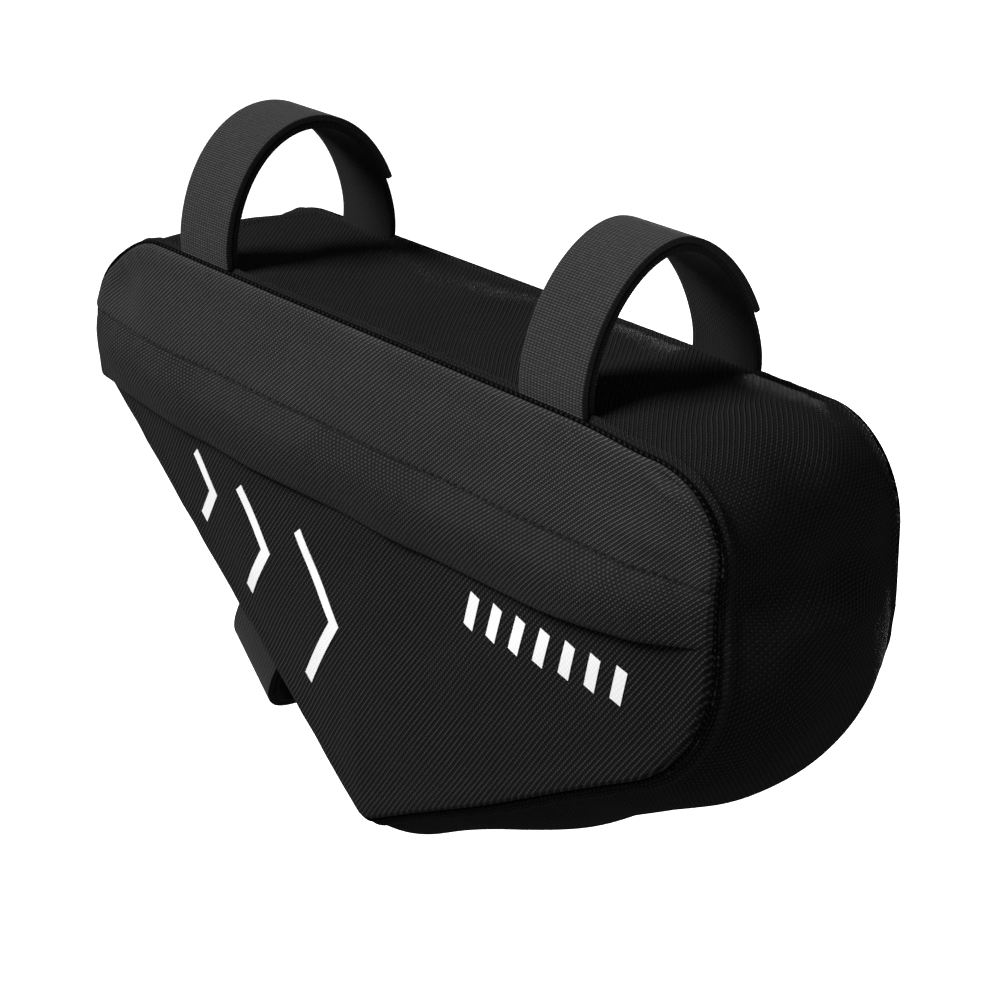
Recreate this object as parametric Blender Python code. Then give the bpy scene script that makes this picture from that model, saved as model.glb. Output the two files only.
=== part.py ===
"""Bicycle frame bag: a wedge of woven cloth that hangs by two strap loops on its top edge, with a
third loop on its sloping front edge. X runs from the nose to the rear, Y away from the zip side, Z
up. The origin is on the axis of the top loops' round bore, midway between the two top loops. Sizes
are in metres."""
import math

import bmesh
import bpy
import numpy as np

# Driving sizes of the bag
BAG_LENGTH = 0.2593
BAG_HEIGHT = 0.1315
HALF_THICKNESS = 0.0266
END_TAPER = 0.0016
CLOTH = 0.0015
SEAM_RIDGE = 0.0008
PANEL_DOME = 0.005
DOME_REACH = 0.045
GAP = 0.0003

# Round bores inside the loops: radius, clear space between the bore and the bag's edge, and the
# slope of the front loop's bore
TOP_BORE_RADIUS = 0.0127
TOP_BORE_SPACE = 0.0085
FRONT_BORE_RADIUS = 0.0143
FRONT_BORE_SPACE = 0.0082
FRONT_BORE_SLOPE = math.radians(44.2)
LOOP_SLACK = 0.0004

# Straps
STRAP_WIDTH = 0.023
STRAP_WALL = 0.0016

# Zip and the flap sewn above it
FLAP_SEAM_DROP = 0.0261
FLAP_HEIGHT = 0.019
FLAP_LIFT = 0.0035
FLAP_END_REACH = 0.035
ZIP_DROP = 0.0298
ZIP_WIDTH = 0.008

# Roundness of the gusset across its width: 2 is a parabola, more is squarer
GUSSET_ROUNDNESS = 2.5

# Share of an edge that the fillets at its ends may take together
FILLET_ROOM = 0.96

# Mesh steps
ARC_STEP = math.radians(9.5)
STRAIGHT_STEP = 0.0105
GUSSET_SPANS = 9
LOOP_SPANS = 26

# Corners of the outline, from the nose's top round by the bottom to the rear's top.
# along is a share of the length, down and radius of the height, bulge of the half thickness.
CORNER_COLUMNS = ("name", "along", "down", "radius", "bulge")
CORNERS = (
    ("nose_top", 0.000, 0.000, 0.260, 0.04),
    ("nose_low", 0.000, 0.307, 0.060, 0.06),
    ("tip", 0.490, 1.000, 0.045, 0.38),
    ("rear_low", 1.000, 0.505, 0.360, 0.45),
    ("rear_top", 1.000, 0.000, 0.172, 0.22),
)

# Dents in the gusset: round is the share of the way along the outline, across runs from -1 at the
# near seam to 1 at the far seam, spread_round is a share of the outline and spread_across of the
# half thickness, depth is a share of the half thickness, less than nothing for a swelling, and
# lean turns the dent's line across the gusset.
DENT_COLUMNS = ("round", "across", "spread_round", "spread_across", "depth", "lean")
DENTS = (
    (0.636, 0.05, 0.018, 0.55, 0.090, -1.20),
    (0.612, -0.05, 0.018, 0.50, -0.040, -1.20),
    (0.430, 0.00, 0.050, 0.80, -0.100, 0.00),
)

# Lower edge of the flap: along is a share of the length, height a share of the flap's height
FLAP_EDGE_COLUMNS = ("along", "height")
FLAP_EDGE = (
    (0.00, 1.00),
    (0.30, 1.00),
    (0.60, 1.00),
    (0.80, 0.95),
    (0.92, 0.82),
    (1.00, 0.68),
)

# The straps: along is a share of the edge that the strap is sewn to, the bag's length for the two on
# top. near and far are the roundness of the loop's two sides: 2 is an ellipse, more is squarer.
STRAP_COLUMNS = ("name", "along", "near", "far")
STRAPS = (
    ("front", 0.220, 2.05, 2.0),
    ("rear", 0.780, 1.85, 1.8),
    ("down_tube", 0.567, 3.0, 3.0),
)

# The two layers of each strap, as shares of the way round the loop from the near seam
LAYER_COLUMNS = ("name", "start", "end", "inset_layers")
LAYERS = (
    ("outer", 0.00, 0.85, 0),
    ("inner", 0.05, 1.00, 1),
)

# Colour, roughness and metallic of each material
MATERIALS = {
    "bag_cloth": ((0.020, 0.020, 0.021, 1.0), 0.80, 0.0),
    "zip_tape": ((0.015, 0.015, 0.015, 1.0), 0.65, 0.0),
    "strap_webbing": ((0.026, 0.026, 0.027, 1.0), 0.70, 0.0),
}

# Places worked out from the driving sizes
TOP_EDGE = -(TOP_BORE_RADIUS + TOP_BORE_SPACE)
NOSE_END = -BAG_LENGTH / 2
FLAP_SEAM = TOP_EDGE - FLAP_SEAM_DROP
SLIT_TOP = TOP_EDGE - ZIP_DROP
SLIT_BOTTOM = SLIT_TOP - ZIP_WIDTH


def rows(columns, table):
    """Reads a table as one dictionary a row, by its column names."""
    return [dict(zip(columns, row)) for row in table]


def half_thickness(x):
    """Half the bag's thickness at x: the full value less a taper that grows as the fourth power."""
    share = 2 * np.asarray(x) / BAG_LENGTH
    return HALF_THICKNESS - END_TAPER * share ** 4


def corner_fillets(corner, radii):
    """Half the angle at each corner and its radius, cut down where an edge is too short for the
    fillets at its two ends."""
    back = np.roll(corner, 1, axis=0) - corner
    ahead = np.roll(corner, -1, axis=0) - corner
    length = np.linalg.norm(ahead, axis=1)
    cosine = (back * ahead).sum(1) / (np.linalg.norm(back, axis=1) * length)
    half_angle = np.arccos(cosine) / 2
    tangent = radii / np.tan(half_angle)
    room = np.minimum(1, FILLET_ROOM * length / (tangent + np.roll(tangent, -1)))
    return half_angle, radii * np.minimum(room, np.roll(room, 1))


def outline():
    """Points, outward directions and gusset bulge along the rounded outline, in the X-Z plane."""
    table = rows(CORNER_COLUMNS, CORNERS)
    corner = np.array([
        [NOSE_END + BAG_LENGTH * row["along"], TOP_EDGE - BAG_HEIGHT * row["down"]] for row in table
    ])
    half_angles, radii = corner_fillets(corner, BAG_HEIGHT * np.array([row["radius"] for row in table]))
    arcs = []
    for index, row in enumerate(table):
        back = corner[index - 1] - corner[index]
        ahead = corner[(index + 1) % len(corner)] - corner[index]
        back /= np.linalg.norm(back)
        ahead /= np.linalg.norm(ahead)
        half_angle, radius = half_angles[index], radii[index]
        inward = (back + ahead) / np.linalg.norm(back + ahead)
        centre = corner[index] + inward * radius / math.sin(half_angle)
        first = corner[index] + back * radius / math.tan(half_angle) - centre
        turn = math.pi - 2 * half_angle
        start = math.atan2(first[1], first[0])
        steps = max(2, math.ceil(turn / ARC_STEP))
        angles = start + turn * np.linspace(0, 1, steps + 1)
        facing = np.stack([np.cos(angles), np.sin(angles)], axis=1)
        bulge = np.full(len(angles), HALF_THICKNESS * row["bulge"])
        arcs.append((centre + radius * facing, facing, bulge))
    points, facings, bulges = [], [], []
    for index, (arc, facing, bulge) in enumerate(arcs):
        next_arc, _, next_bulge = arcs[(index + 1) % len(arcs)]
        span = next_arc[0] - arc[-1]
        steps = max(1, math.ceil(np.linalg.norm(span) / STRAIGHT_STEP))
        share = np.arange(1, steps)[:, None] / steps
        points += [arc, arc[-1] + share * span]
        facings += [facing, np.repeat(facing[-1:], steps - 1, axis=0)]
        bulges += [bulge, bulge[-1] + share[:, 0] * (next_bulge[0] - bulge[-1])]
    return np.concatenate(points), np.concatenate(facings), np.concatenate(bulges)


POINTS, FACINGS, BULGES = outline()
RIM = POINTS + SEAM_RIDGE * FACINGS


def edge_height(x, side):
    """Height of the panels' rim at x: side -1 is the lower edge and 1 the upper edge."""
    half = FACINGS[:, 1] * side > -1e-6
    at = np.round(RIM[half, 0], 6)
    places, group = np.unique(at, return_inverse=True)
    heights = np.full(len(places), -np.inf)
    np.maximum.at(heights, group, RIM[half, 1] * side)
    return np.interp(x, places, heights * side)


def rim_distance(x, z):
    """Distance inwards from the panels' rim to each point."""
    spot = np.stack([np.asarray(x).ravel(), np.asarray(z).ravel()], axis=1)[:, None, :]
    start = RIM[None, :, :]
    run = np.roll(RIM, -1, axis=0)[None, :, :] - start
    share = np.clip(((spot - start) * run).sum(2) / (run ** 2).sum(2), 0, 1)
    gap = np.linalg.norm(spot - start - share[:, :, None] * run, axis=2)
    return gap.min(axis=1).reshape(np.shape(x))


def panel_face(x, z):
    """How far a side panel's inner face is from the middle: it starts at the seam and domes out
    along a quarter sine of the distance from the rim."""
    rise = np.sin(np.clip(rim_distance(x, z) / DOME_REACH, 0, 1) * math.pi / 2)
    return half_thickness(x) + PANEL_DOME * rise


def flap_edge(x):
    """Height of the flap's free lower edge at x, through the rows of its table."""
    table = rows(FLAP_EDGE_COLUMNS, FLAP_EDGE)
    along = [NOSE_END + BAG_LENGTH * row["along"] for row in table]
    height = [FLAP_HEIGHT * row["height"] for row in table]
    return FLAP_SEAM - np.interp(x, along, height)


def flap_face(x, z):
    """The flap's inner face: on the panel at its seam and at its two ends, which are sewn into the
    side seam, and lifting off towards its free edge between them."""
    drop = np.clip((FLAP_SEAM - z) / FLAP_HEIGHT, 0, 1)
    sewn = np.clip((BAG_LENGTH / 2 - np.abs(x)) / FLAP_END_REACH, 0, 1)
    lift = FLAP_LIFT * np.sin(drop * math.pi / 2) * np.sin(sewn * math.pi / 2)
    return panel_face(x, z) + CLOTH + GAP + lift


def clear_scene():
    for thing in list(bpy.data.objects):
        bpy.data.objects.remove(thing, do_unlink=True)


def material(name):
    made = bpy.data.materials.get(name)
    if made:
        return made
    colour, roughness, metallic = MATERIALS[name]
    made = bpy.data.materials.new(name)
    made.use_nodes = True
    shader = made.node_tree.nodes["Principled BSDF"]
    shader.inputs["Base Color"].default_value = colour
    shader.inputs["Roughness"].default_value = roughness
    shader.inputs["Metallic"].default_value = metallic
    return made


def cloth_piece(name, grid, wall, slot, closed=False):
    """Makes a sheet from a grid of points and gives it a wall. The wall grows on the side that
    the grid's faces point to, or away from it where wall is negative."""
    across, along = grid.shape[:2]
    index = np.arange(across * along).reshape(across, along)
    if closed:
        index = np.concatenate([index, index[:, :1]], axis=1)
    faces = np.stack([index[:-1, :-1], index[:-1, 1:], index[1:, 1:], index[1:, :-1]], axis=2)
    mesh = bpy.data.meshes.new(name)
    mesh.from_pydata(grid.reshape(-1, 3).tolist(), [], faces.reshape(-1, 4).tolist())
    body = bmesh.new()
    body.from_mesh(mesh)
    bmesh.ops.remove_doubles(body, verts=body.verts, dist=1e-6)
    body.to_mesh(mesh)
    body.free()
    mesh.shade_smooth()
    mesh.materials.append(material(slot))
    piece = bpy.data.objects.new(name, mesh)
    bpy.context.scene.collection.objects.link(piece)
    thicken = piece.modifiers.new("wall", "SOLIDIFY")
    thicken.thickness = abs(wall)
    thicken.offset = math.copysign(1, wall)
    thicken.use_even_offset = True
    return piece


def dent_depth(place, across):
    """Sum of the dents: each is a bell shape across its line, which leans over the gusset."""
    depth = np.zeros(np.broadcast(place, across).shape)
    for row in rows(DENT_COLUMNS, DENTS):
        aside = across - row["across"]
        off_line = place - row["round"] - row["lean"] * row["spread_round"] * aside * 2
        bell = np.exp(-(off_line / row["spread_round"]) ** 2 - (aside / row["spread_across"]) ** 2)
        depth += HALF_THICKNESS * row["depth"] * bell
    return depth


def make_gusset():
    """The band between the two side panels: at each point of the outline it bulges out by a
    rounded profile that is nothing at the seams and full in the middle, less the dents."""
    across = np.linspace(-1, 1, GUSSET_SPANS + 1)[:, None]
    steps = np.linalg.norm(np.roll(POINTS, -1, axis=0) - POINTS, axis=1)
    place = (np.concatenate([[0], np.cumsum(steps)[:-1]]) / steps.sum())[None, :]
    profile = 1 - np.abs(across) ** GUSSET_ROUNDNESS
    out = BULGES[None, :] * profile - dent_depth(place, across) * profile
    grid = np.empty(out.shape + (3,))
    grid[..., 0] = POINTS[None, :, 0] + FACINGS[None, :, 0] * out
    grid[..., 1] = across * (half_thickness(POINTS[:, 0])[None, :] - GAP)
    grid[..., 2] = POINTS[None, :, 1] + FACINGS[None, :, 1] * out
    cloth_piece("gusset", grid[::-1], -CLOTH, "bag_cloth", closed=True)


def make_sheet(name, low, high, face, side, row_count, column_count, slot, extra=()):
    """A cloth sheet between two edges given as heights over x, on one side of the bag."""
    trial = np.linspace(RIM[:, 0].min(), RIM[:, 0].max(), 2001)
    kept = trial[high(trial) - low(trial) > CLOTH]
    middle, half = (kept[0] + kept[-1]) / 2, (kept[-1] - kept[0]) / 2
    x = middle - half * np.cos(np.linspace(0, math.pi, column_count + 1))
    x = np.sort(np.concatenate([x, extra]))
    share = np.linspace(0, 1, row_count + 1)[:, None]
    z = low(x)[None, :] + share * (high(x) - low(x))[None, :]
    wide = np.broadcast_to(x, z.shape)
    grid = np.stack([wide, side * face(wide, z), z], axis=2)
    if side > 0:
        grid = grid[:, ::-1]
    cloth_piece(name, grid, CLOTH, slot)


def tip_columns():
    """Extra places along X that keep the tip's rounding."""
    tip = rows(CORNER_COLUMNS, CORNERS)[2]
    middle = NOSE_END + BAG_LENGTH * tip["along"]
    reach = BAG_HEIGHT * tip["radius"]
    return middle + reach * np.array([-1.0, -0.5, 0.0, 0.5, 1.0])


def make_panels():
    def rim_low(x):
        return edge_height(x, -1)

    def rim_high(x):
        return edge_height(x, 1)

    def above_slit(x):
        return np.maximum(rim_low(x), SLIT_TOP)

    def below_slit(x):
        return np.minimum(rim_high(x), SLIT_BOTTOM)

    def zip_low(x):
        return np.maximum(rim_low(x), SLIT_BOTTOM + GAP)

    def zip_high(x):
        return np.minimum(rim_high(x), SLIT_TOP - GAP)

    def flap_low(x):
        return np.maximum(rim_low(x), flap_edge(x))

    def flap_high(x):
        return np.minimum(rim_high(x), FLAP_SEAM)

    make_sheet("side_panel_far", rim_low, rim_high, panel_face, 1, 12, 30, "bag_cloth", tip_columns())
    make_sheet("side_panel_upper", above_slit, rim_high, panel_face, -1, 5, 30, "bag_cloth")
    make_sheet("side_panel_lower", rim_low, below_slit, panel_face, -1, 8, 28, "bag_cloth", tip_columns())
    make_sheet("zip", zip_low, zip_high, panel_face, -1, 1, 28, "zip_tape")
    make_sheet("zip_flap", flap_low, flap_high, flap_face, -1, 4, 30, "bag_cloth")


def seat_height(base, span):
    """How far the gusset or the seam's ridge stands out from the outline under a strap layer
    whose outer face lies span from the middle, at the fullest place along the strap's width."""
    inner_share = (span - STRAP_WALL) / float(half_thickness(base[0]))
    if inner_share >= 1:
        return SEAM_RIDGE + GAP
    under = np.linalg.norm(POINTS - base[[0, 2]], axis=1) < STRAP_WIDTH
    return float(BULGES[under].max()) * (1 - inner_share ** GUSSET_ROUNDNESS) + GAP


def make_loop(strap, base, edge_way, bore_way, out_way, half_span, depth):
    """Two layers of webbing in a loop. Each follows half of a rounded ellipse from the near side
    to the far side: half_span wide each way along Y, and depth out from the outline. The
    webbing's width turns from the edge's direction at its ends to the bore's farthest out."""
    for row in rows(LAYER_COLUMNS, LAYERS):
        inset = row["inset_layers"] * (STRAP_WALL + GAP)
        seat = max(seat_height(base, half_span - inset), SEAM_RIDGE + GAP)
        angle = math.pi * np.linspace(row["start"], row["end"], LOOP_SPANS + 1)[None, :, None]
        power = np.where(angle < math.pi / 2, 2 / strap["near"], 2 / strap["far"])
        reach = np.abs(np.cos(angle)) ** power * np.sign(np.cos(angle))
        rise = np.abs(np.sin(angle)) ** power
        across = np.array([0.5, -0.5])[:, None, None] * STRAP_WIDTH
        grid = (
            base
            + across * (edge_way + (bore_way - edge_way) * rise)
            - (half_span - inset) * reach * np.array([0.0, 1.0, 0.0])
            + (seat + (depth - inset - seat) * rise) * out_way
        )
        cloth_piece(f"{strap['name']}_strap_{row['name']}", grid, -STRAP_WALL, "strap_webbing")


def make_top_straps(straps):
    """The two loops sewn into the top seams, on either side of the origin."""
    depth = TOP_BORE_SPACE + 2 * TOP_BORE_RADIUS + LOOP_SLACK + 2 * STRAP_WALL + GAP
    for strap in straps:
        middle = NOSE_END + BAG_LENGTH * strap["along"]
        base = np.array([middle, 0.0, TOP_EDGE])
        half_span = float(half_thickness(middle)) + (CLOTH + STRAP_WALL) / 2
        level = np.array([1.0, 0.0, 0.0])
        make_loop(strap, base, level, level, np.array([0.0, 0.0, 1.0]), half_span, depth)


def make_front_edge_strap(strap):
    """The loop on the sloping front edge, square to it at its ends and in line with its bore
    farthest out."""
    table = rows(CORNER_COLUMNS, CORNERS)
    ends = [
        np.array([NOSE_END + BAG_LENGTH * row["along"], 0.0, TOP_EDGE - BAG_HEIGHT * row["down"]])
        for row in table[1:3]
    ]
    run = ends[1] - ends[0]
    along = run / np.linalg.norm(run)
    out_way = np.array([along[2], 0.0, -along[0]])
    base = ends[0] + strap["along"] * run
    layers = 2 * STRAP_WALL + GAP
    depth = FRONT_BORE_SPACE + 2 * FRONT_BORE_RADIUS + LOOP_SLACK + layers
    half_span = FRONT_BORE_RADIUS + LOOP_SLACK + layers
    bore_way = np.array([math.cos(FRONT_BORE_SLOPE), 0.0, -math.sin(FRONT_BORE_SLOPE)])
    make_loop(strap, base, -along, -bore_way, out_way, half_span, depth)


clear_scene()
make_gusset()
make_panels()
make_top_straps(rows(STRAP_COLUMNS, STRAPS)[:2])
make_front_edge_strap(rows(STRAP_COLUMNS, STRAPS)[2])
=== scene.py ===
"""Looks of the bicycle frame bag: woven cloth panels, bulging gusset, sewn seams, a flap over the
zip, webbing loops and white reflective print. Every surface is a grid of points that numpy works
out from two parameters, in metres, in the frame's own axes: X to the rear, Y away from the zip
side, Z up."""
import math

import bpy
import numpy as np
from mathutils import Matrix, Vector


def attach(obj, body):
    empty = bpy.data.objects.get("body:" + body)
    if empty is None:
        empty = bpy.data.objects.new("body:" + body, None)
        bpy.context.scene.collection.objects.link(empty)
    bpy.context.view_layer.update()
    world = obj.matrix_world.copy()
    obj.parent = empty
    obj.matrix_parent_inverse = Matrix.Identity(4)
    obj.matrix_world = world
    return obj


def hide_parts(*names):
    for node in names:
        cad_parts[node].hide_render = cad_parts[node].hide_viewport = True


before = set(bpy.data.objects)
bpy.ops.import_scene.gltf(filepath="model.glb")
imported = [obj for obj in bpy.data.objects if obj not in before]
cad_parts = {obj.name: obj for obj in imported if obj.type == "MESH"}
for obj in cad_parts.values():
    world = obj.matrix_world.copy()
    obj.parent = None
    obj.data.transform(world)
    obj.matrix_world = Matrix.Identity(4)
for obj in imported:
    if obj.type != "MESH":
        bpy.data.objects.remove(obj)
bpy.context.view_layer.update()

# Sizes of the bag, as its solids have them
BAG_LENGTH = 0.2593
BAG_HEIGHT = 0.1315
HALF_THICKNESS = 0.0266
END_TAPER = 0.0016
CLOTH = 0.0015
SEAM_RIDGE = 0.0008
PANEL_DOME = 0.005
DOME_REACH = 0.045
GAP = 0.0003
TOP_EDGE = -0.0212
NOSE_END = -BAG_LENGTH / 2
GUSSET_ROUNDNESS = 2.5

# Corners of the outline: along, down and radius are shares of length and height, bulge of the
# half thickness
CORNERS = (
    (0.000, 0.000, 0.260, 0.04),
    (0.000, 0.307, 0.060, 0.06),
    (0.490, 1.000, 0.045, 0.38),
    (1.000, 0.505, 0.360, 0.45),
    (1.000, 0.000, 0.172, 0.22),
)
FILLET_ROOM = 0.96

# Steps round the outline, as angle at the corners and length between them: fine for the cloth,
# and coarse for measuring how far a point lies from the rim. Then how far the panels' rim lies
# outside the outline, the places tried along X for a panel's ends, and the gusset's rows.
FINE_STEPS = (math.radians(2.0), 0.0013)
COARSE_STEPS = (math.radians(3.0), 0.004)
RIM_OFFSET = 0.0002
EDGE_TRIALS = 4001
GUSSET_ROWS = 80

# Beside each seam the panel's cloth rolls down into a groove, after a low puffed band
SEAM_ROLL = 0.0011
SEAM_DROP = 0.0010
PUFF_HEIGHT = 0.0003
PUFF_PLACE = 0.0034
PUFF_SPREAD = 0.0024

# On the gusset's side of the seam: a folded ridge, the roll down and the gathers
RIDGE_HEIGHT = 0.0013
RIDGE_PLACE = 0.0015
RIDGE_SPREAD = 0.0009
GUSSET_ROLL = 0.0014
GUSSET_DROP = 0.0012
GUSSET_GATHER = 0.0002
GUSSET_GATHER_LENGTH = 0.0081
GUSSET_GATHER_FADE = 0.004
GATHER_START = 0.0012

# The cord in the groove of each seam: its radius, how far its middle lies outwards and sideways
SEAM_CORD = 0.00048
CORD_OUT = 0.0006
CORD_ASIDE = 0.0001
CORD_SIDES = 12

# Slow waves of the cloth: how many are added up, their lengths, what their sum is divided by, and
# how far inside a rim they reach their full height
WAVE_COUNT = 8
WAVE_LENGTHS = (0.018, 0.060)
WAVE_DIVISOR = 3
RIPPLE_REACH = 0.02

# Gathers along a sewn rim: two waves by length, height and phase, along a line that is slanted in
# X-Z, and how fast they fade inwards
GATHER_SLANT = 0.7
GATHER_WAVES = ((0.0073, 1.0, 0.0), (0.0047, 0.6, 1.3))
GATHER_FADE = 0.0035

# Unevenness of each cloth: height and seed of its slow ripples, and height of its gathers
FAR_UNEVENNESS = (0.0004, 5, 0.00016)
UPPER_UNEVENNESS = (0.0003, 11, 0.00018)
LOWER_UNEVENNESS = (0.00022, 23, 0.00012)
FLAP_RIPPLES = (0.0003, 31)
GUSSET_RIPPLES = (0.0005, 3)

# The flap and the slit behind it, which holds the zip
FLAP_SEAM = TOP_EDGE - 0.0261
FLAP_HEIGHT = 0.019
FLAP_LIFT = 0.0026
FLAP_END_REACH = 0.035
FLAP_WALL = 0.0008
FLAP_OVERHANG = 0.0020
FLAP_EDGE = ((0.00, 1.00), (0.30, 1.00), (0.60, 1.00), (0.80, 0.95), (0.92, 0.82), (1.00, 0.68))
SLIT_TOP = TOP_EDGE - 0.0298
SLIT_BOTTOM = SLIT_TOP - 0.008

# How the flap rises: share of a half wave from its seam to its free edge, its step off the panel
# behind it, how fast the step comes and how much of it is left at the ends, the gathers under its
# seam, and the turned-in free edge
FLAP_WAVE = 0.96
FLAP_STEP = CLOTH + 0.0002
FLAP_STEP_RATE = 3.2
FLAP_END_STEP = 0.3
FLAP_GATHER = 0.00022
FLAP_GATHER_LENGTH = 0.0083
FLAP_GATHER_SWAY = (2, 60)
FLAP_GATHER_FADE = 6
FLAP_TURN = 0.0014
FLAP_TURN_DROP = 0.0003
FLAP_SEAM_LIFT = 0.0001
GROOVE_DEPTH = 0.0005
GROOVE_SPREAD = 0.0016

# The upper panel lies lower behind the flap than above it
BEHIND_DROP = 0.0011
BEHIND_START = 0.0004
BEHIND_RUN = 0.0010

# The zip strip: sunk beside the rims, with a low ridge along its middle
ZIP_WALL = CLOTH * 0.6
ZIP_SINK = 0.0012
ZIP_SINK_REACH = 0.003
ZIP_RIDGE = 0.0009
ZIP_RIDGE_SPREAD = 0.0016

# Straps
STRAP_WIDTH = 0.023
STRAP_WALL = 0.0016
STRAP_EDGE = 0.0004
TOP_BORE_RADIUS = 0.0127
TOP_BORE_SPACE = 0.0085
FRONT_BORE_RADIUS = 0.0143
FRONT_BORE_SPACE = 0.0082
FRONT_BORE_SLOPE = math.radians(44.2)
LOOP_SLACK = 0.0004
LOOP_SPANS = 90
LOOP_COLUMNS = 13
OUTER_LAYER_END = 0.85

# Where the straps are sewn in: how far they run into the cloth, in how many rows, and how far they
# are drawn inwards over their last millimetres
TOP_TUCK = 0.0016
FRONT_TUCK = 0.001
TUCK_ROWS = 4
TUCK_INWARDS = 0.0006
END_CURVE = 0.008

# The straps: name, share along the edge, roundness of the near and of the far side
TOP_STRAPS = (("front", 0.220, 2.05, 2.0), ("rear", 0.780, 1.85, 1.8))
FRONT_EDGE_STRAP = ("down_tube", 0.567, 3.0, 3.0)

# Dents in the gusset, as its solid has them: round the outline, across, spread round, spread
# across, depth, lean
GUSSET_DENTS = (
    (0.636, 0.05, 0.018, 0.55, 0.090, -1.20),
    (0.612, -0.05, 0.018, 0.50, -0.040, -1.20),
    (0.430, 0.00, 0.050, 0.80, -0.100, 0.00),
)

# Dents in the near side: x, z, spread along, spread down, depth, in metres, and turn in degrees
NEAR_DENTS = (
    (-0.1110, -0.0350, 0.0090, 0.0085, 0.0019, 0.0),
    (0.1130, -0.0440, 0.0110, 0.0035, 0.0012, -8.0),
    (0.1040, -0.0395, 0.0120, 0.0040, -0.0007, -8.0),
    (0.0400, -0.0330, 0.0500, 0.0070, -0.0006, 0.0),
    (0.1146, -0.0242, 0.0045, 0.0009, 0.0016, -22.0),
    (0.1138, -0.0262, 0.0048, 0.0012, -0.0006, -22.0),
)

# How the hanging cloth has settled off its plain outline: x and z of the place, spread, and shift
# along and up there. The near side also swells outwards.
SAGS = (
    (-0.1300, -0.0450, 0.0220, -0.0030, 0.0000),
    (-0.1180, -0.0215, 0.0140, 0.0000, -0.0016),
    (0.1080, -0.0215, 0.0160, 0.0000, -0.0018),
    (0.1300, -0.0550, 0.0200, -0.0024, 0.0000),
    (0.0450, -0.1280, 0.0300, 0.0000, -0.0012),
    (-0.0050, -0.1520, 0.0300, 0.0000, -0.0010),
)
NEAR_SWELL = 0.0010

# Stitches above the flap: count of points along their line, how far it keeps from the nose and
# from the rear end, its height above the flap's seam, and the size of each stitch
STITCH_POINTS = 400
STITCH_ENDS = (0.006, 0.009)
STITCH_RISE = 0.0009
STITCH_PITCH = 0.0030
STITCH_LENGTH = 0.0022
STITCH_RADIUS = 0.00022
STITCH_RINGS = 5
STITCH_SIDES = 6

# Print on the lower panel: arrowheads by the x and z of their point, their reach and half height,
# and bars by their first top end, the step between them, their lean and height
PRINT_STROKE = 0.0034
PRINT_STEP = 0.0012
PRINT_LIFT = 0.00008
PRINT_WALL = 0.00012
PRINT_HEADS = (
    (-0.0640, -0.0810, 0.0080, 0.0095),
    (-0.0375, -0.0890, 0.0115, 0.0145),
    (-0.0060, -0.0985, 0.0155, 0.0205),
)
BAR_COUNT = 7
BAR_START = (0.0535, -0.0705)
BAR_STEP = (0.0085, -0.0002)
BAR_LEAN = 0.0030
BAR_HEIGHT = 0.0090

# The cloth's threads: their spacing, the scale of the noise that they wander by and of their
# fibres, the fibres' share of the height, and the power that rounds the threads
THREAD_PITCH = (0.00076, 0.00076)
WEBBING_PITCH = (0.00115, 0.00064)
WANDER_SCALE = 70.0
FIBRE_SCALE = 2600.0
FIBRE_SHARE = 0.15
THREAD_ROUNDNESS = 0.8

# Ribs of webbing: height of every second rib, and height between two threads of a rib
LOW_RIB = 0.7
RIB_GAP = 0.3

# Tones: range of each crossing's own tone; the two sizes of noise in the rubbed tone by scale,
# detail, roughness and share; and the ranges that it is spread from and to
CROSSING_TONES = (0.85, 1.12)
WEAR_NOISES = ((14.0, 3.0, 0.5, 0.75), (260.0, 3.0, 0.6, 0.25))
WEAR_RANGE = (0.3, 0.7, 0.72, 1.24)

# The threads' lean changes in patches: scale of the patches, the range of noise that counts, and
# how far below and above its set value the lean goes
LEAN_SCALE = 42.0
LEAN_NOISE = (0.36, 0.64)
LEAN_BELOW = 0.34
LEAN_ABOVE = 0.2
SHEEN_ROUGHNESS = 0.45

# Girth of the gusset's cloth from seam to seam, and where its band of painted light beside each
# seam starts and is full, counted from the seam
GUSSET_GIRTH = 0.0582
LIT_SEAM_BAND = (0.0055, 0.0020)

# Lamps by name, place, size and power, and the spot that they point at
LAMPS = (
    ("key", (-2.5, -3.4, 4.0), 2.6, 660.0),
    ("rear fill", (3.0, -0.3, -0.2), 1.4, 34.0),
    ("back fill", (-1.6, 3.0, -0.5), 0.8, 90.0),
)
LAMP_TARGET = (0.0, 0.0, -0.07)
FLOOR_REACH = 14.0
FLOOR_LEVEL = -0.95
SKY_STRENGTH = 0.1
SKY_SEEN = 0.95

# The camera, worked out from the photograph
CAMERA_PLACE = (0.53797, -0.39751, 0.18580)
CAMERA_AZIMUTH = 52.59
CAMERA_ELEVATION = 21.01
CAMERA_LENS = 101.8
CAMERA_SENSOR = 36.0

SIDEWAYS = np.array([0.0, 1.0, 0.0])


def corner_fillets(corner, radii):
    """Half the angle at each corner and its radius, cut down where the fillets of an edge would
    meet."""
    back = np.roll(corner, 1, axis=0) - corner
    ahead = np.roll(corner, -1, axis=0) - corner
    length = np.linalg.norm(ahead, axis=1)
    cosine = (back * ahead).sum(1) / (np.linalg.norm(back, axis=1) * length)
    half_angle = np.arccos(cosine) / 2
    tangent = radii / np.tan(half_angle)
    room = np.minimum(1, FILLET_ROOM * length / (tangent + np.roll(tangent, -1)))
    return half_angle, radii * np.minimum(room, np.roll(room, 1))


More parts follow.
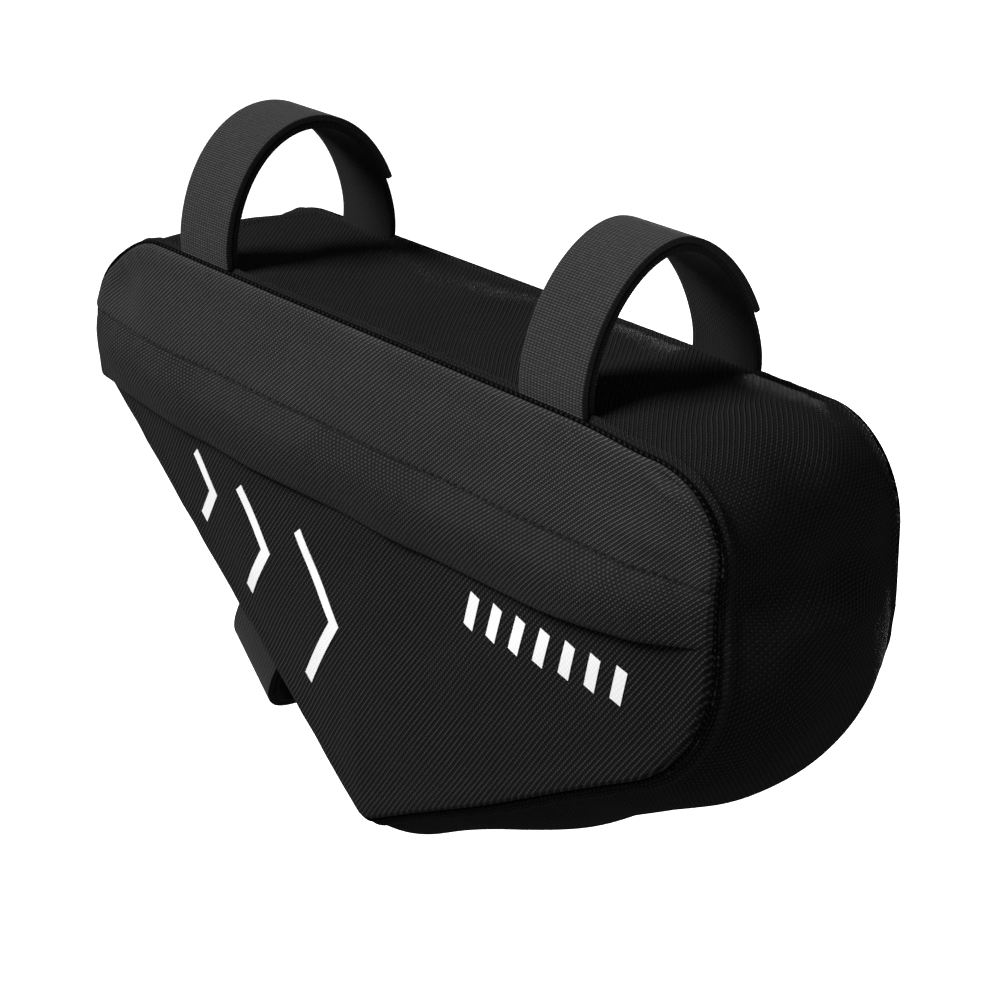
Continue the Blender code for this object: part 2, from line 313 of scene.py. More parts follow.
def outline(arc_step, straight_step):
    """Points, outward directions and bulge round the outline in X-Z: arcs of a circle at the
    corners and straight runs between them, with the bulge eased from one corner to the next."""
    table = np.array(CORNERS)
    corner = np.stack([NOSE_END + BAG_LENGTH * table[:, 0], TOP_EDGE - BAG_HEIGHT * table[:, 1]], 1)
    half_angles, radii = corner_fillets(corner, BAG_HEIGHT * table[:, 2])
    arcs = []
    for index in range(len(corner)):
        back = corner[index - 1] - corner[index]
        ahead = corner[(index + 1) % len(corner)] - corner[index]
        back /= np.linalg.norm(back)
        ahead /= np.linalg.norm(ahead)
        half_angle, radius = half_angles[index], radii[index]
        inward = (back + ahead) / np.linalg.norm(back + ahead)
        centre = corner[index] + inward * radius / math.sin(half_angle)
        first = corner[index] + back * radius / math.tan(half_angle) - centre
        turn = math.pi - 2 * half_angle
        start = math.atan2(first[1], first[0])
        steps = max(2, math.ceil(turn / arc_step))
        angles = start + turn * np.linspace(0, 1, steps + 1)
        facing = np.stack([np.cos(angles), np.sin(angles)], axis=1)
        bulge = np.full(len(angles), HALF_THICKNESS * table[index, 3])
        arcs.append((centre + radius * facing, facing, bulge))
    points, facings, bulges = [], [], []
    for index, (arc, facing, bulge) in enumerate(arcs):
        next_arc, _, next_bulge = arcs[(index + 1) % len(arcs)]
        span = next_arc[0] - arc[-1]
        steps = max(1, math.ceil(np.linalg.norm(span) / straight_step))
        share = np.arange(1, steps)[:, None] / steps
        eased = (share * share * (3 - 2 * share))[:, 0]
        points += [arc, arc[-1] + share * span]
        facings += [facing, np.repeat(facing[-1:], steps - 1, axis=0)]
        bulges += [bulge, bulge[-1] + eased * (next_bulge[0] - bulge[-1])]
    return np.concatenate(points), np.concatenate(facings), np.concatenate(bulges)


FINE_POINTS, FINE_FACINGS, FINE_BULGES = outline(*FINE_STEPS)
RIM, RIM_FACINGS, _ = outline(*COARSE_STEPS)
RIM = RIM + RIM_OFFSET * RIM_FACINGS
PANEL_EDGE = FINE_POINTS + RIM_OFFSET * FINE_FACINGS


def half_thickness(x):
    """Half the bag's thickness at x: the full value less a taper by the fourth power of x."""
    return HALF_THICKNESS - END_TAPER * (2 * np.asarray(x) / BAG_LENGTH) ** 4


def roll(distance, reach, drop):
    """How far cloth turns down beside a seam: the drop times the square of what is left of the
    reach."""
    return drop * np.clip(1 - distance / reach, 0, 1) ** 2


def edge_height(x, side):
    """Height of the panels' rim at x: side -1 is the lower edge and 1 the upper edge."""
    half = FINE_FACINGS[:, 1] * side > -1e-6
    at = np.round(PANEL_EDGE[half, 0], 6)
    places, group = np.unique(at, return_inverse=True)
    heights = np.full(len(places), -np.inf)
    np.maximum.at(heights, group, PANEL_EDGE[half, 1] * side)
    return np.interp(x, places, heights * side)


def rim_distance(x, z):
    """Distance inwards from the panels' rim to each point."""
    spot = np.stack([np.asarray(x).ravel(), np.asarray(z).ravel()], axis=1)
    nearest = np.full(len(spot), np.inf)
    for start, end in zip(RIM, np.roll(RIM, -1, axis=0)):
        run = end - start
        share = np.clip((spot - start) @ run / (run @ run), 0, 1)
        gap = np.linalg.norm(spot - start - share[:, None] * run, axis=1)
        nearest = np.minimum(nearest, gap)
    return nearest.reshape(np.shape(x))


def running_length(points):
    """Length along a row of points, from the first to each."""
    return np.concatenate([[0], np.cumsum(np.linalg.norm(np.diff(points, axis=0), axis=1))])


def ripples(x, z, height, seed):
    """Slow uneven waves of cloth: a sum of sine waves of random directions and lengths."""
    rng = np.random.default_rng(seed)
    total = np.zeros(np.shape(x))
    for _ in range(WAVE_COUNT):
        angle, phase = rng.uniform(0, math.pi), rng.uniform(0, 2 * math.pi)
        length = rng.uniform(*WAVE_LENGTHS)
        total += np.sin(2 * math.pi * (x * math.cos(angle) + z * math.sin(angle)) / length + phase)
    return height * total / WAVE_DIVISOR


def gathers(x, z, distance, height):
    """Small gathers along a sewn rim: two waves along the rim that die away inwards."""
    along = x + z * GATHER_SLANT
    wave = sum(high * np.sin(2 * math.pi * along / length + phase)
               for length, high, phase in GATHER_WAVES)
    start = np.clip(distance / GATHER_START, 0, 1)
    return height * wave * np.exp(-distance / GATHER_FADE) * start


def near_dents(x, z):
    """Sum of bell-shaped dents, each turned in the X-Z plane."""
    depth = np.zeros(np.shape(x))
    for at_x, at_z, along, down, deep, turn in NEAR_DENTS:
        angle = math.radians(turn)
        u = (x - at_x) * math.cos(angle) + (z - at_z) * math.sin(angle)
        v = (z - at_z) * math.cos(angle) - (x - at_x) * math.sin(angle)
        depth += deep * np.exp(-(u / along) ** 2 - (v / down) ** 2)
    return depth


def settle(points):
    """Shifts points as the hanging bag's cloth has settled: a sum of bells in X-Z that are full on
    the near side and fade to nothing on the far side, and an even swell of the near side."""
    x, y, z = points[..., 0], points[..., 1], points[..., 2]
    near = np.clip(0.5 - 0.5 * y / HALF_THICKNESS, 0, 1)
    moved = points.copy()
    for at_x, at_z, spread, along, up in SAGS:
        bell = near * np.exp(-((x - at_x) ** 2 + (z - at_z) ** 2) / spread ** 2)
        moved[..., 0] += along * bell
        moved[..., 2] += up * bell
    moved[..., 1] -= NEAR_SWELL * np.clip(-y / HALF_THICKNESS, 0, 1)
    return moved


def dome(x, distance):
    """Half the thickness plus a dome that rises along a quarter sine from the rim, with a low
    puffed band beside it and a roll down into the seam."""
    rise = np.sin(np.clip(distance / DOME_REACH, 0, 1) * math.pi / 2)
    puff = PUFF_HEIGHT * np.exp(-((distance - PUFF_PLACE) / PUFF_SPREAD) ** 2)
    return half_thickness(x) + PANEL_DOME * rise + puff - roll(distance, SEAM_ROLL, SEAM_DROP)


def uneven_face(x, z, ripple, seed, gather):
    """A panel's inner face: the dome with slow ripples inside its rim and gathers along it."""
    distance = rim_distance(x, z)
    inside = np.clip(distance / RIPPLE_REACH, 0, 1)
    waves = inside * ripples(x, z, ripple, seed)
    return dome(x, distance) + waves + gathers(x, z, distance, gather)


def far_face(x, z):
    """The far panel's inner face."""
    return uneven_face(x, z, *FAR_UNEVENNESS)


def lower_face(x, z):
    """The lower near panel's inner face."""
    return uneven_face(x, z, *LOWER_UNEVENNESS)


def flap_groove(z):
    """How far the cloth is drawn in along the flap's seam: a bell across it."""
    return GROOVE_DEPTH * np.exp(-((z - FLAP_SEAM) / GROOVE_SPREAD) ** 2)


def upper_face(x, z):
    """The upper near panel's inner face: uneven and dented, and stepped inwards behind the flap."""
    behind = np.clip((FLAP_SEAM + BEHIND_START - z) / BEHIND_RUN, 0, 1)
    face = uneven_face(x, z, *UPPER_UNEVENNESS)
    return face - near_dents(x, z) - flap_groove(z) - BEHIND_DROP * behind


def flap_edge(x):
    """Height of the flap's free edge at x."""
    table = np.array(FLAP_EDGE)
    return FLAP_SEAM - np.interp(x, NOSE_END + BAG_LENGTH * table[:, 0], FLAP_HEIGHT * table[:, 1])


def flap_face(x, z):
    """The flap's inner face: at its seam it continues the upper panel's face, and below it rises
    along a sine that is past its top at the free edge, where the cloth turns under. Its two ends
    are sewn into the side seam, and at the nose it hangs straight down past the front edge."""
    drop = np.clip((FLAP_SEAM - z) / FLAP_HEIGHT, 0, 1)
    sewn = np.clip((BAG_LENGTH / 2 - np.abs(x)) / FLAP_END_REACH, 0, 1)
    lift = FLAP_LIFT * np.sin(drop * math.pi * FLAP_WAVE) * np.sin(sewn * math.pi / 2)
    off_ends = FLAP_END_STEP + (1 - FLAP_END_STEP) * np.clip(sewn * 2, 0, 1)
    step = FLAP_STEP * np.clip(drop * FLAP_STEP_RATE, 0, 1) * off_ends
    waves = drop * ripples(x, z, *FLAP_RIPPLES)
    sway = FLAP_GATHER_SWAY[0] * np.sin(x * FLAP_GATHER_SWAY[1])
    gather = FLAP_GATHER * np.sin(2 * math.pi * x / FLAP_GATHER_LENGTH + sway)
    gather *= np.exp(-drop * FLAP_GATHER_FADE)
    turned = roll(z - flap_edge(x), FLAP_TURN, FLAP_TURN_DROP)
    held = np.maximum(z, edge_height(x, -1) + FLAP_OVERHANG)
    risen = dome(x, rim_distance(x, held)) + step + lift + waves + gather
    return risen - flap_groove(z) - turned + FLAP_SEAM_LIFT


def zip_face(x, z):
    """The zip strip's inner face: the dome, sunk beside the rims, with a low ridge."""
    distance = rim_distance(x, z)
    middle = (SLIT_TOP + SLIT_BOTTOM) / 2
    ridge = ZIP_RIDGE * np.exp(-((z - middle) / ZIP_RIDGE_SPREAD) ** 4)
    return dome(x, distance) - ZIP_SINK * np.exp(-distance / ZIP_SINK_REACH) + ridge


# Meshes
def cell_corners(values):
    """A grid's values at the four corners of each of its cells, in order round the cell."""
    corners = [values[:-1, :-1], values[:-1, 1:], values[1:, 1:], values[1:, :-1]]
    return np.stack(corners, axis=2).reshape(-1, 4)


def carry_on(values, along, across):
    """A grid of values with one more column and row where it is closed, a step past the last."""
    if along:
        last, before = values[:, -1:], values[:, -2:-1]
        values = np.concatenate([values, last + (last - before)], axis=1)
    if across:
        last, before = values[-1:], values[-2:-1]
        values = np.concatenate([values, last + (last - before)], axis=0)
    return values


def make_mesh(name, grid, uv, closed_along=False, closed_across=False):
    """A mesh from a grid of points, with a UV map in metres for the weave. U may be one row of
    values and V one column of them."""
    shape = grid.shape[:2]
    index = np.arange(shape[0] * shape[1]).reshape(shape)
    index = np.pad(index, ((0, int(closed_across)), (0, int(closed_along))), mode="wrap")
    mesh = bpy.data.meshes.new(name)
    mesh.from_pydata(grid.reshape(-1, 3).tolist(), [], cell_corners(index).tolist())
    u, v = uv
    maps = []
    for values in (u, v[:, None] if v.ndim == 1 else v):
        wide = carry_on(np.broadcast_to(values, shape), closed_along, closed_across)
        maps.append(cell_corners(wide))
    layer = mesh.uv_layers.new(name="cloth")
    layer.data.foreach_set("uv", np.stack(maps, axis=2).astype(np.float32).ravel())
    mesh.shade_smooth()
    mesh.update()
    return mesh


def add_piece(name, mesh, material, nodes=()):
    """Puts a mesh in the scene, on the body root, in place of the named solids."""
    piece = bpy.data.objects.new(name, mesh)
    bpy.context.scene.collection.objects.link(piece)
    mesh.materials.append(material)
    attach(piece, "root")
    if nodes:
        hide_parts(*nodes)
    return piece


def thicken(piece, wall):
    """Gives a sheet its wall, on the side that its faces point to, or behind it if below zero."""
    solid = piece.modifiers.new("wall", "SOLIDIFY")
    solid.thickness = abs(wall)
    solid.offset = math.copysign(1, wall)
    solid.use_even_offset = False


def sheet_grid(low, high, face, side, row_count, column_count):
    """Columns along X between two heights, closer together at the ends, on one side of the bag."""
    trial = np.linspace(RIM[:, 0].min(), RIM[:, 0].max(), EDGE_TRIALS)
    kept = trial[high(trial) - low(trial) > CLOTH]
    middle, half = (kept[0] + kept[-1]) / 2, (kept[-1] - kept[0]) / 2
    x = middle - half * np.cos(np.linspace(0, math.pi, column_count + 1))
    share = 0.5 - 0.5 * np.cos(np.linspace(0, math.pi, row_count + 1))[:, None]
    z = low(x)[None, :] + share * (high(x) - low(x))[None, :]
    wide = np.broadcast_to(x, z.shape)
    grid = np.stack([wide, side * face(wide, z), z], axis=2)
    if side > 0:
        grid, wide, z = grid[:, ::-1], wide[:, ::-1], z[:, ::-1]
    return grid, (wide, z)


# Materials
def socket(tree, way, kind, name, default=None):
    """Adds a named input or output to a node group."""
    made = tree.interface.new_socket(name=name, in_out=way, socket_type=kind)
    if default is not None:
        made.default_value = default


class Nodes:
    """Short calls for making and joining shader nodes in one tree."""

    def __init__(self, tree):
        self.tree = tree

    def add(self, kind, **settings):
        node = self.tree.nodes.new(kind)
        for key, value in settings.items():
            setattr(node, key, value)
        return node

    def put(self, value, target):
        """Joins an output to an input, or sets the input to a plain value."""
        if isinstance(value, bpy.types.NodeSocket):
            self.tree.links.new(value, target)
        else:
            target.default_value = value

    def fill(self, node, **values):
        """Puts a value in each named input, with underscores for the spaces in its name."""
        for name, value in values.items():
            self.put(value, node.inputs[name.replace("_", " ")])

    def math(self, operation, first, second=0.0, clamp=False):
        node = self.add("ShaderNodeMath", operation=operation, use_clamp=clamp)
        self.put(first, node.inputs[0])
        self.put(second, node.inputs[1])
        return node.outputs[0]

    def mix(self, factor, first, second):
        """Blend of two colours."""
        node = self.add("ShaderNodeMix", data_type="RGBA")
        for number, given in ((0, factor), (6, first), (7, second)):
            self.put(given, node.inputs[number])
        return node.outputs[2]

    def ramp(self, value, low, high, bottom=0.0, top=1.0):
        """Straight map of a value from one range to another, held at its ends."""
        node = self.add("ShaderNodeMapRange")
        for number, given in enumerate((value, low, high, bottom, top)):
            self.put(given, node.inputs[number])
        return node.outputs[0]

    def noise(self, place, scale, detail=2.0, roughness=0.5):
        node = self.add("ShaderNodeTexNoise")
        self.fill(node, Vector=place, Scale=scale, Detail=detail, Roughness=roughness)
        return node.outputs[0]

    def parts(self, place):
        """The X, Y and Z of a place."""
        node = self.add("ShaderNodeSeparateXYZ")
        self.put(place, node.inputs[0])
        return node.outputs


def weave_group():
    """Plain weave of two sets of threads. The sine across one set times the sine across the other
    is above zero where the thread along V lies on top and below zero where the thread along U
    does. It is half the difference of two diagonal waves, and Lean makes the first of them
    stronger, as threads do that lie over to one side. Height is what is above zero, and the rest
    drawn down by Sunk. Rib adds plain ribs along U, every second one higher. Shade is the height
    with a slight tone of each crossing's own."""
    tree = bpy.data.node_groups.new("plain weave", "ShaderNodeTree")
    socket(tree, "INPUT", "NodeSocketVector", "Place")
    for name, default in (("Pitch U", 0.001), ("Pitch V", 0.001), ("Rib", 0.0), ("Sunk", 0.7),
                          ("Lean", 0.0), ("Unevenness", 0.15)):
        socket(tree, "INPUT", "NodeSocketFloat", name, default)
    socket(tree, "OUTPUT", "NodeSocketFloat", "Height")
    socket(tree, "OUTPUT", "NodeSocketFloat", "Shade")
    n = Nodes(tree)
    given = n.add("NodeGroupInput").outputs
    out = n.add("NodeGroupOutput").inputs
    wander = n.noise(given["Place"], WANDER_SCALE)
    fibre = n.noise(given["Place"], FIBRE_SCALE, 1.0)
    place = n.parts(given["Place"])
    drift = n.math("MULTIPLY", n.math("SUBTRACT", wander, 0.5), given["Unevenness"])
    u = n.math("ADD", n.math("DIVIDE", place[0], given["Pitch U"]), drift)
    v = n.math("ADD", n.math("DIVIDE", place[1], given["Pitch V"]), drift)
    sine_u = n.math("SINE", n.math("MULTIPLY", u, math.pi))
    sine_v = n.math("SINE", n.math("MULTIPLY", v, math.pi))
    falling = n.math("COSINE", n.math("MULTIPLY", n.math("SUBTRACT", u, v), math.pi))
    rising = n.math("COSINE", n.math("MULTIPLY", n.math("ADD", u, v), math.pi))
    stronger = n.math("MULTIPLY", falling, n.math("ADD", 1.0, given["Lean"]))
    weaker = n.math("MULTIPLY", rising, n.math("SUBTRACT", 1.0, given["Lean"]))
    checked = n.math("MULTIPLY", n.math("SUBTRACT", stronger, weaker), 0.5)
    raised = n.math("MAXIMUM", checked, 0.0)
    below = n.math("MAXIMUM", n.math("MULTIPLY", checked, -1.0), 0.0)
    sunk = n.math("MULTIPLY", below, n.math("SUBTRACT", 1.0, given["Sunk"]))
    woven = n.math("POWER", n.math("ADD", raised, sunk), THREAD_ROUNDNESS)
    every_second = n.ramp(sine_v, -1.0, 1.0, LOW_RIB, 1.0)
    rib = n.math("MULTIPLY", n.math("ABSOLUTE", sine_v), every_second)
    ribbed = n.math("MULTIPLY", rib, n.ramp(n.math("ABSOLUTE", sine_u), 0.0, 1.0, RIB_GAP, 1.0))
    plain = n.math("MULTIPLY", woven, n.math("SUBTRACT", 1.0, given["Rib"]))
    height = n.math("ADD", plain, n.math("MULTIPLY", ribbed, given["Rib"]))
    n.put(n.math("ADD", height, n.math("MULTIPLY", fibre, FIBRE_SHARE)), out["Height"])
    cells = n.add("ShaderNodeCombineXYZ")
    n.fill(cells, X=n.math("FLOOR", u), Y=n.math("FLOOR", v))
    tone = n.add("ShaderNodeTexWhiteNoise", noise_dimensions="3D")
    n.fill(tone, Vector=cells.outputs[0])
    own = n.ramp(tone.outputs[0], 0.0, 1.0, *CROSSING_TONES)
    n.put(n.math("MULTIPLY", height, own), out["Shade"])
    return tree


def wear_group():
    """Slow change of tone over a piece, from rubbed to fresh: two sizes of noise on the object's
    own coordinates, from 0 to 1."""
    tree = bpy.data.node_groups.new("rubbed tone", "ShaderNodeTree")
    socket(tree, "INPUT", "NodeSocketVector", "Place")
    socket(tree, "OUTPUT", "NodeSocketFloat", "Tone")
    n = Nodes(tree)
    given = n.add("NodeGroupInput").outputs
    out = n.add("NodeGroupOutput").inputs
    broad, small = [
        n.math("MULTIPLY", n.noise(given["Place"], scale, detail, roughness), share)
        for scale, detail, roughness, share in WEAR_NOISES
    ]
    n.put(n.math("ADD", broad, small), out["Tone"])
    return tree


WEAVE = weave_group()
WEAR = wear_group()


def cloth_material(name, dark, light, pitch, rubbed_and_lit=0.0, rib=0.0, sunk=1.0, lean=0.0, bump=0.5,
                   depth=0.00018, roughness=(0.62, 0.85), sheen=0.05, uneven=0.15, specular=0.15,
                   shade_power=1.0):
    """Woven cloth: the weave's shade and the rubbed tone mix the dark and the light colour, and
    the weave's height is the bump. A band along the cloth's two long edges, where V is far from
    zero, can be made lighter: painted light on the slopes beside the seams."""
    made = bpy.data.materials.new(name)
    made.use_nodes = True
    n = Nodes(made.node_tree)
    shader = made.node_tree.nodes["Principled BSDF"]
    uv = n.add("ShaderNodeUVMap", uv_map="cloth").outputs[0]
    place = n.add("ShaderNodeTexCoord").outputs["Object"]
    leaning = n.ramp(n.noise(place, LEAN_SCALE), *LEAN_NOISE, lean - LEAN_BELOW, lean + LEAN_ABOVE)
    weave = n.add("ShaderNodeGroup", node_tree=WEAVE)
    n.fill(weave, Place=uv, Pitch_U=pitch[0], Pitch_V=pitch[1], Rib=rib, Sunk=sunk, Lean=leaning,
           Unevenness=uneven)
    wear = n.add("ShaderNodeGroup", node_tree=WEAR)
    n.fill(wear, Place=place)
    tone = n.ramp(wear.outputs["Tone"], *WEAR_RANGE)
    # Painted light: the cloth is made lighter in a band beside each seam.
    if rubbed_and_lit:
        off_middle = n.math("ABSOLUTE", n.parts(uv)[1])
        start, full = (GUSSET_GIRTH / 2 - inset for inset in LIT_SEAM_BAND)
        tone = n.math("MULTIPLY", tone, n.ramp(off_middle, start, full, 1.0, 1.0 + rubbed_and_lit))
    shade = n.math("POWER", weave.outputs["Shade"], shade_power)
    factor = n.math("MULTIPLY", shade, tone, clamp=True)
    relief = n.add("ShaderNodeBump")
    n.fill(relief, Strength=bump, Distance=depth, Height=weave.outputs["Height"])
    n.fill(shader, Base_Color=n.mix(factor, (*dark, 1.0), (*light, 1.0)),
           Roughness=n.ramp(weave.outputs["Shade"], 0.0, 1.0, roughness[1], roughness[0]),
           Sheen_Weight=sheen, Sheen_Roughness=SHEEN_ROUGHNESS, Specular_IOR_Level=specular,
           Normal=relief.outputs[0])
    return made


BAG_CLOTH = cloth_material("black oxford cloth", (0.0010, 0.0010, 0.0010), (0.062, 0.062, 0.063),
                           THREAD_PITCH, sunk=0.9, lean=0.42, bump=1.0, depth=0.0003)
# The flap's copy of the bag cloth, made darker: painted shade.
SHADED_FLAP_CLOTH = cloth_material("black oxford cloth of the flap in painted shade", (0.0010, 0.0010, 0.0010),
                            (0.042, 0.042, 0.043), THREAD_PITCH, sunk=0.9, lean=0.42, bump=1.0,
                            depth=0.0003, sheen=0.03, specular=0.1)
# The lower panel's copy of the bag cloth, made darker: painted shade below the flap.
SHADED_LOWER_CLOTH = cloth_material("black oxford cloth below in painted shade", (0.0030, 0.0030, 0.0030),
                             (0.033, 0.033, 0.0335), THREAD_PITCH, lean=0.4, bump=1.0, depth=0.0003,
                             sheen=0.02, specular=0.08)
# The gusset's copy of the bag cloth, made much darker: painted shadow over the gusset's top.
SHADOWED_GUSSET_CLOTH = cloth_material("black oxford cloth of the gusset in painted shadow", (0.0045, 0.0045, 0.0045),
                              (0.0185, 0.0185, 0.0190), THREAD_PITCH, rubbed_and_lit=1.1, sunk=0.9,
                              lean=0.4, bump=1.0, depth=0.0007, sheen=0.01, specular=0.05)
# The sewn edge's cloth, made near black: the cord is real, its darkness is painted shade of the
# groove.
SEAM_CLOTH_IN_PAINTED_SHADE = cloth_material("black seam edge in painted groove shade", (0.0010, 0.0010, 0.0010), (0.0120, 0.0120, 0.0120),
                            (0.0009, 0.0007), bump=0.9, depth=0.0002, sheen=0.0, specular=0.02)
WEBBING = cloth_material("black webbing", (0.002, 0.002, 0.002), (0.049, 0.049, 0.050),
                         WEBBING_PITCH, rib=0.85, sunk=0.6, bump=1.0, depth=0.0003, uneven=0.04)
# The down-tube strap's copy of the webbing, made darker: painted shade.
SHADED_WEBBING = cloth_material("black webbing in painted shade", (0.002, 0.002, 0.002),
                              (0.014, 0.014, 0.0143), WEBBING_PITCH, rib=0.7, sunk=0.6, bump=0.8,
                              depth=0.0002, uneven=0.04)
HOOK_SIDE = cloth_material("black hook and loop", (0.001, 0.001, 0.001), (0.006, 0.006, 0.006),
                           (0.0008, 0.0007), sunk=0.4, bump=0.6, depth=0.0002,
                           roughness=(0.85, 0.95))
ZIP_TAPE = cloth_material("black zip tape", (0.001, 0.001, 0.001), (0.008, 0.008, 0.008),
                          (0.0006, 0.0006), rib=0.5, bump=0.5, depth=0.0001)
PRINT = cloth_material("white reflective print", (0.86, 0.86, 0.86), (0.97, 0.97, 0.97),
                       THREAD_PITCH, bump=0.1, depth=0.00005, roughness=(0.35, 0.5), sheen=0.0,
                       specular=0.5, shade_power=0.5)
THREAD = cloth_material("black sewing thread", (0.001, 0.001, 0.001), (0.010, 0.010, 0.010),
                        (0.0004, 0.0004), bump=0.4, depth=0.0001)


# Gusset and panels
def gusset_dents(place, across):
    """Sum of bells across lines that lean over the gusset, in metres."""
    depth = np.zeros(np.broadcast(place, across).shape)
    for at, aside_at, spread_round, spread_across, deep, lean in GUSSET_DENTS:
        aside = across - aside_at
        off_line = place - at - lean * spread_round * aside * 2
        bell = np.exp(-(off_line / spread_round) ** 2 - (aside / spread_across) ** 2)
        depth += HALF_THICKNESS * deep * bell
    return depth


def make_gusset():
    """The band between the two sides: one minus a power of the share across, times the bulge at
    that place, less the dents, with slow ripples, and beside both seams with gathers, a ridge and
    the roll down."""
    across = np.sin(np.linspace(-math.pi / 2, math.pi / 2, GUSSET_ROWS + 1))[:, None]
    steps = np.linalg.norm(np.roll(FINE_POINTS, -1, axis=0) - FINE_POINTS, axis=1)
    run = np.concatenate([[0], np.cumsum(steps)[:-1]])
    place = (run / steps.sum())[None, :]
    profile = 1 - np.abs(across) ** GUSSET_ROUNDNESS
    inset = (1 - np.abs(across)) * HALF_THICKNESS
    wide, tall = np.broadcast_arrays(run[None, :], across * HALF_THICKNESS)
    gather = GUSSET_GATHER * np.sin(2 * math.pi * run[None, :] / GUSSET_GATHER_LENGTH)
    gather = gather * np.exp(-inset / GUSSET_GATHER_FADE) * np.clip(inset / GATHER_START, 0, 1)
    ridge = RIDGE_HEIGHT * np.exp(-((inset - RIDGE_PLACE) / RIDGE_SPREAD) ** 2)
    out = FINE_BULGES[None, :] * profile - gusset_dents(place, across) * profile
    out = out + profile * ripples(wide, tall, *GUSSET_RIPPLES) + gather + ridge
    out = out - roll(inset, GUSSET_ROLL, GUSSET_DROP)
    grid = np.empty(out.shape + (3,))
    grid[..., 0] = FINE_POINTS[None, :, 0] + FINE_FACINGS[None, :, 0] * out
    grid[..., 1] = across * (half_thickness(FINE_POINTS[:, 0])[None, :] - GAP)
    grid[..., 2] = FINE_POINTS[None, :, 1] + FINE_FACINGS[None, :, 1] * out
    girth = np.cumsum(np.linalg.norm(np.diff(grid, axis=0), axis=2), axis=0).mean(axis=1)
    from_middle = np.concatenate([[0], girth]) - girth[-1] / 2
    mesh = make_mesh("gusset_cloth", settle(grid[::-1]), (run, from_middle[::-1]),
                     closed_along=True)
    # The gusset's cloth is darkened as painted shadow, with lighter bands beside the seams as
    # painted light.
    piece = add_piece("gusset_cloth", mesh, SHADOWED_GUSSET_CLOTH, ["gusset"])
    thicken(piece, -CLOTH)


def make_panel(name, bounds, face, side, counts, wall, material, nodes, closeness):
    """One cloth panel with its wall. Counts are its rows and columns, and closeness packs its level
    threads closer than the standing ones."""
    grid, (u, v) = sheet_grid(*bounds, lambda x, z: face(x, z) + wall, side, *counts)
    mesh = make_mesh(name, settle(grid), (u, v * closeness))
    piece = add_piece(name, mesh, material, nodes)
    thicken(piece, -wall)


def rim_low(x):
    """Lower edge of a whole side."""
    return edge_height(x, -1)


def rim_high(x):
    """Upper edge of a whole side."""
    return edge_height(x, 1)


def zip_low(x):
    """The zip strip's lower edge, just inside the slit."""
    return np.maximum(rim_low(x), SLIT_BOTTOM + GAP)


def zip_high(x):
    """The zip strip's upper edge, just inside the slit."""
    return np.minimum(rim_high(x), SLIT_TOP - GAP)


def flap_low(x):
    """The flap's lower edge: free towards the nose, and held by the rim towards the rear."""
    return np.where(x < 0, flap_edge(x), np.maximum(rim_low(x), flap_edge(x)))


def make_panels():
    """The far side, the two near panels with the flap between them, and the zip strip."""
    upper = (lambda x: np.maximum(rim_low(x), SLIT_TOP), rim_high)
    lower = (rim_low, lambda x: np.minimum(rim_high(x), SLIT_BOTTOM))
    flap = (flap_low, lambda x: np.minimum(rim_high(x), FLAP_SEAM))
    make_panel("far_panel", (rim_low, rim_high), far_face, 1, (90, 200), CLOTH, BAG_CLOTH,
               ["side_panel_far"], 1.0)
    make_panel("upper_panel", upper, upper_face, -1, (46, 240), CLOTH, BAG_CLOTH,
               ["side_panel_upper"], 1.2)
    # The lower panel gets the darker copy of the bag cloth: painted shade.
    make_panel("lower_panel", lower, lower_face, -1, (80, 220), CLOTH, SHADED_LOWER_CLOTH,
               ["side_panel_lower"], 0.88)
    # The flap gets the darker copy of the bag cloth: painted shade.
    make_panel("flap", flap, flap_face, -1, (30, 240), FLAP_WALL, SHADED_FLAP_CLOTH,
               ["zip_flap"], 1.1)
    grid, uv = sheet_grid(zip_low, zip_high, zip_face, -1, 10, 160)
    mesh = make_mesh("zip_strip", settle(grid), uv)
    piece = add_piece("zip_strip", mesh, ZIP_TAPE, ["zip"])
    thicken(piece, ZIP_WALL)


# Seams, straps and print
def make_seam(name, side):
    """The sewn edges in the groove between a panel and the gusset: a small round cord along the
    line where they meet, its cloth much darker than the panels' as painted shade of the groove.
    Each of its points is a sum of the line's outward direction and Y."""
    angle = np.linspace(0, 2 * math.pi, CORD_SIDES + 1)[:-1] * -side
    profile = SEAM_CORD * np.stack([np.cos(angle), np.sin(angle)], axis=1)
    line = FINE_POINTS + CORD_OUT * FINE_FACINGS
    y = side * (half_thickness(FINE_POINTS[:, 0]) + CORD_ASIDE)
    centre = np.stack([line[:, 0], y, line[:, 1]], axis=1)
    out_way = np.stack([FINE_FACINGS[:, 0], 0 * y, FINE_FACINGS[:, 1]], axis=1)
    grid = centre[None] + (profile[:, :1, None] * out_way[None] + profile[:, 1:, None] * SIDEWAYS)
    mesh = make_mesh(name, settle(grid), (running_length(centre), running_length(profile)),
                     closed_along=True, closed_across=True)
    add_piece(name, mesh, SEAM_CLOTH_IN_PAINTED_SHADE)


